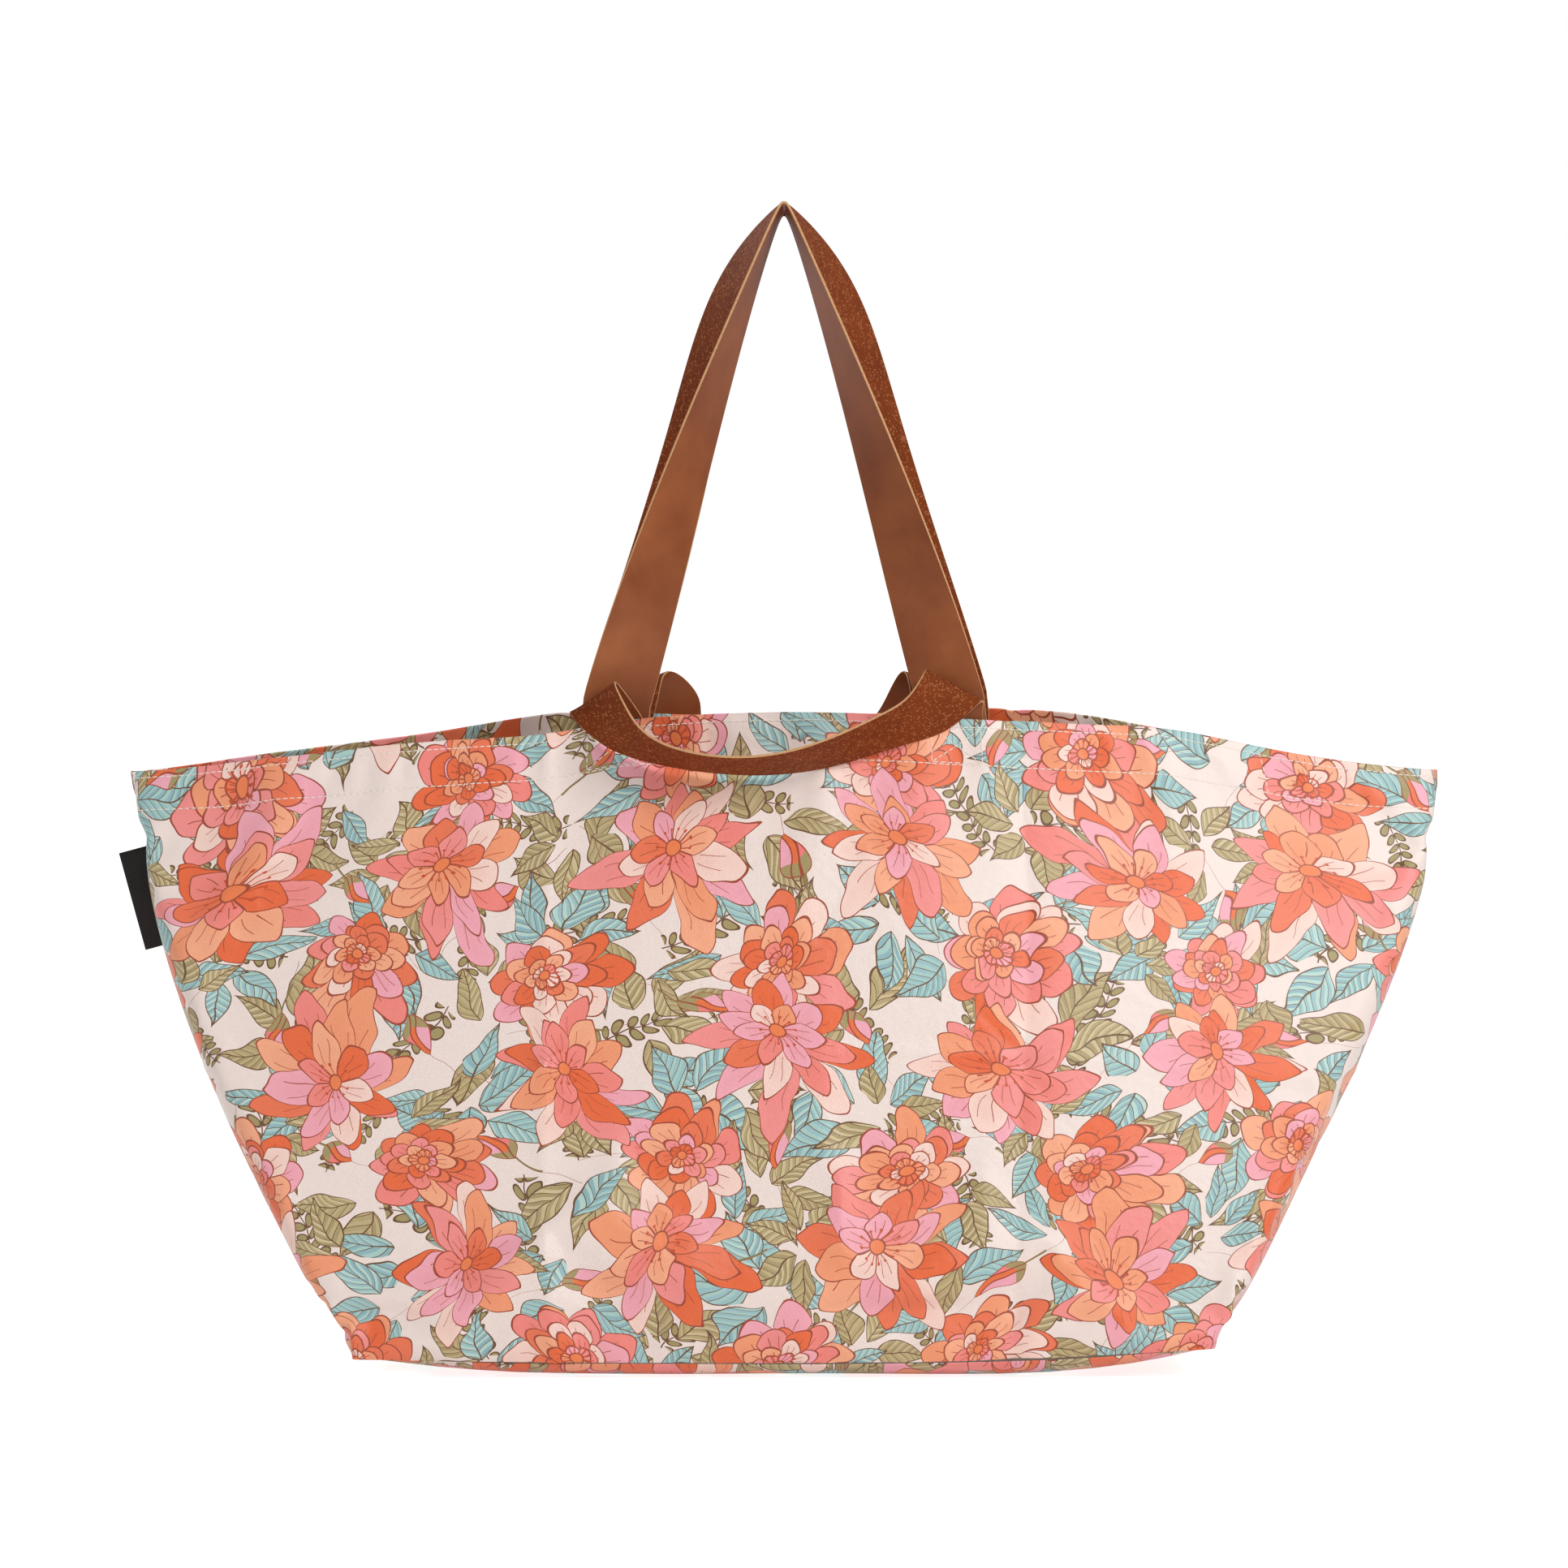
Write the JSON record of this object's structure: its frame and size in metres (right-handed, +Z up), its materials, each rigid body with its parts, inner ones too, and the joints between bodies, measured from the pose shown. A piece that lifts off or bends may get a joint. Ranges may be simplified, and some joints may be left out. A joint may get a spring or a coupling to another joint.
{
  "type": "foldable tote bag",
  "caption": "Oversized boxed-base tote of printed coated cloth with long shoulder straps and short carry straps sewn inside its hem.",
  "frame": {"origin": "on the floor under the middle of the base", "axes": "+X along the bag to the right, +Y to the back, +Z up"},
  "size_m": [0.7497, 0.26, 0.6593],
  "materials": {
    "printed_cloth": "coated weave with a floral print, semi-gloss",
    "strap": "tan imitation leather, smooth on one face and grained on the other",
    "thread": "off-white sewing thread",
    "seam_binding": "matt cream tape",
    "label": "black damask weave with no lettering"
  },
  "bodies": {
    "base": {"back_bottom_seam_binding_left": "seam_binding", "back_bottom_seam_binding_right": "seam_binding", "back_hem_facing_left": "printed_cloth", "back_hem_facing_right": "printed_cloth", "back_hem_lower_stitching_left": "thread", "back_hem_lower_stitching_right": "thread", "back_hem_upper_stitching_left": "thread", "back_hem_upper_stitching_right": "thread", "back_panel_left": "printed_cloth", "back_panel_right": "printed_cloth", "bottom_panel": "printed_cloth", "front_bottom_seam_binding_left": "seam_binding", "front_bottom_seam_binding_right": "seam_binding", "front_hem_facing_left": "printed_cloth", "front_hem_facing_right": "printed_cloth", "front_hem_lower_stitching_left": "thread", "front_hem_lower_stitching_right": "thread", "front_hem_upper_stitching_left": "thread", "front_hem_upper_stitching_right": "thread", "front_panel_left": "printed_cloth", "front_panel_right": "printed_cloth", "left_gusset_back_half": "printed_cloth", "left_gusset_front_half": "printed_cloth", "left_side_seam_binding": "seam_binding", "right_gusset_back_half": "printed_cloth", "right_gusset_front_half": "printed_cloth", "right_side_seam_binding": "seam_binding"},
    "front_wall": {"front_panel_middle": "printed_cloth", "front_hem_facing_middle": "printed_cloth", "front_bottom_seam_binding_middle": "seam_binding", "front_hem_upper_stitching_middle": "thread", "front_hem_lower_stitching_middle": "thread", "front_left_box_stitch": "thread", "front_right_box_stitch": "thread", "front_short_handle_left_end": "strap", "front_short_handle_right_end": "strap", "front_long_handle_left_end": "strap", "front_long_handle_right_end": "strap"},
    "front_strap_root": {"front_long_handle_left_root": "strap", "front_long_handle_right_root": "strap"},
    "front_long_handle": {"front_long_handle": "strap"},
    "front_short_handle": {"front_short_handle": "strap"},
    "back_wall": {"back_panel_middle": "printed_cloth", "back_hem_facing_middle": "printed_cloth", "back_bottom_seam_binding_middle": "seam_binding", "back_hem_upper_stitching_middle": "thread", "back_hem_lower_stitching_middle": "thread", "back_left_box_stitch": "thread", "back_right_box_stitch": "thread", "back_short_handle_left_end": "strap", "back_short_handle_right_end": "strap", "back_long_handle_left_end": "strap", "back_long_handle_right_end": "strap"},
    "back_strap_root": {"back_long_handle_left_root": "strap", "back_long_handle_right_root": "strap"},
    "back_long_handle": {"back_long_handle": "strap"},
    "back_short_handle": {"back_short_handle": "strap"},
    "side_label": {"side_label": "label"}
  },
  "joints": [
    {"name": "front_wall_hinge", "type": "hinge", "parent": "base", "child": "front_wall", "pos_m": [0, -0.13, 0.009], "axis": [1, 0, 0], "range_deg": [-5.5, 12]},
    {"name": "front_strap_root_bend", "type": "hinge", "parent": "front_wall", "child": "front_strap_root", "pos_m": [0, -0.04456, 0.37291], "axis": [1, 0, 0], "range_deg": [-28, 14]},
    {"name": "front_long_handle_swing", "type": "hinge", "parent": "front_strap_root", "child": "front_long_handle", "pos_m": [0, -0.04456, 0.37291], "axis": [1, 0, 0], "range_deg": [0, 30]},
    {"name": "front_short_handle_lift", "type": "hinge", "parent": "front_wall", "child": "front_short_handle", "pos_m": [0, -0.058, 0.388], "axis": [1, 0, 0], "range_deg": [-80, 0]},
    {"name": "back_wall_hinge", "type": "hinge", "parent": "base", "child": "back_wall", "pos_m": [0, 0.13, 0.009], "axis": [-1, 0, 0], "range_deg": [-5.5, 12]},
    {"name": "back_strap_root_bend", "type": "hinge", "parent": "back_wall", "child": "back_strap_root", "pos_m": [0, 0.04456, 0.37291], "axis": [-1, 0, 0], "range_deg": [-28, 14]},
    {"name": "back_long_handle_swing", "type": "hinge", "parent": "back_strap_root", "child": "back_long_handle", "pos_m": [0, 0.04456, 0.37291], "axis": [-1, 0, 0], "range_deg": [0, 30]},
    {"name": "back_short_handle_lift", "type": "hinge", "parent": "back_wall", "child": "back_short_handle", "pos_m": [0, 0.058, 0.388], "axis": [-1, 0, 0], "range_deg": [-80, 0]},
    {"name": "side_label_flip", "type": "hinge", "parent": "base", "child": "side_label", "pos_m": [-0.35756, 0, 0.2675], "axis": [-0.2246, 0, 0.9744], "range_deg": [-50, 50]}
  ],
  "couplings": [
    {"joint": "back_wall_hinge", "follows": "front_wall_hinge", "ratio": 1},
    {"joint": "front_strap_root_bend", "follows": "front_wall_hinge", "ratio": -2.25},
    {"joint": "back_strap_root_bend", "follows": "front_wall_hinge", "ratio": -2.25}
  ]
}
